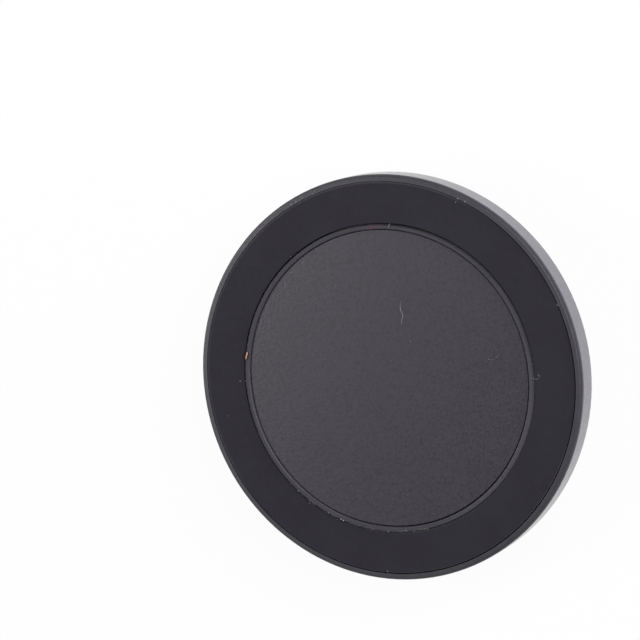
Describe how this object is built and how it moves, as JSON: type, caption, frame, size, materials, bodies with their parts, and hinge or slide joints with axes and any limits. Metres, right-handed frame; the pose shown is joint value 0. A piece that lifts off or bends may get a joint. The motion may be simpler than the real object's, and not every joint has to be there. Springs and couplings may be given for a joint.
{
  "type": "magnetic tripod adapter",
  "caption": "Round magnetic phone plate with a soft pad ring and a grained front disc, and behind it a ribbed collar with a threaded boss for a tripod screw.",
  "frame": {"origin": "centre of the rear collar's end face, which the adapter stands on", "axes": "+Z along the disc's axis towards the phone side; -Z out of the tripod thread; +X along one rib of the rear recess"},
  "size_m": [0.06, 0.06, 0.0133],
  "materials": {
    "housing_plastic": "satin moulded black plastic",
    "insert_metal": "turned and plated",
    "ring_steel": "stamped sheet",
    "magnet_plating": "satin plated",
    "adhesive_film": "dull film",
    "pad_rubber": "matte",
    "disc_grain": "fine leather grain"
  },
  "bodies": {
    "root": {"housing": "housing_plastic", "threaded_insert": "insert_metal", "steel_ring": "ring_steel", "magnet_01": "magnet_plating", "magnet_02": "magnet_plating", "magnet_03": "magnet_plating", "magnet_04": "magnet_plating", "magnet_05": "magnet_plating", "magnet_06": "magnet_plating", "magnet_07": "magnet_plating", "magnet_08": "magnet_plating", "magnet_09": "magnet_plating", "magnet_10": "magnet_plating", "magnet_11": "magnet_plating", "magnet_12": "magnet_plating", "magnet_13": "magnet_plating", "magnet_14": "magnet_plating", "magnet_15": "magnet_plating", "magnet_16": "magnet_plating", "pad_adhesive": "adhesive_film", "pad_ring": "pad_rubber", "disc_adhesive": "adhesive_film", "front_disc": "disc_grain"}
  },
  "joints": []
}
